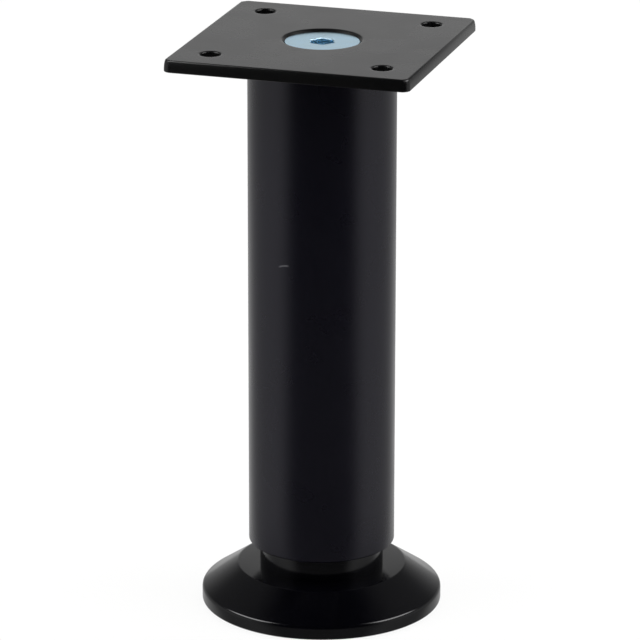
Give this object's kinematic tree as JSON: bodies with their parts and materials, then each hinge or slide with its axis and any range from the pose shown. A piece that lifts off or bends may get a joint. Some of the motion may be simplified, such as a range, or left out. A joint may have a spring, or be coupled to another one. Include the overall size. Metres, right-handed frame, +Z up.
{
  "type": "adjustable furniture leg",
  "caption": "Round black steel leg on a square screw-on plate, with a moulded foot that screws in and out of the tube to level a cabinet.",
  "frame": {"origin": "on the floor under the foot, on the tube's axis", "axes": "+Z up along the tube, from foot to plate; +X and +Y along the plate's sides"},
  "size_m": [0.067, 0.067, 0.159],
  "materials": {
    "coated_steel": "satin black powder coat on sheet steel",
    "coated_tube": "satin black powder coat on steel tube",
    "zinc_screw": "blue zinc plating",
    "zinc_steel": "bright zinc plating",
    "cast_plug": "as cast",
    "sleeve_plastic": "moulded nylon",
    "foot_plastic": "moulded black plastic, smooth"
  },
  "bodies": {
    "leg": {"mounting_plate": "coated_steel", "plate_screw": "zinc_screw", "leg_tube": "coated_tube", "top_plug": "cast_plug", "guide_sleeve": "sleeve_plastic", "captive_nut": "zinc_steel"},
    "spindle": {"spindle": "zinc_steel"},
    "foot": {"foot": "foot_plastic"}
  },
  "joints": [
    {"name": "foot_height", "type": "slide", "parent": "leg", "child": "spindle", "axis": [0, 0, -1], "range_m": [-0.0066, 0.0135]},
    {"name": "foot_turn", "type": "hinge", "parent": "spindle", "child": "foot", "pos_m": [0, 0, 0.0102], "axis": [0, 0, -1], "range_deg": [-1584, 3240]}
  ],
  "couplings": [
    {"joint": "foot_height", "follows": "foot_turn", "m_per_rad": 0.00023873}
  ]
}
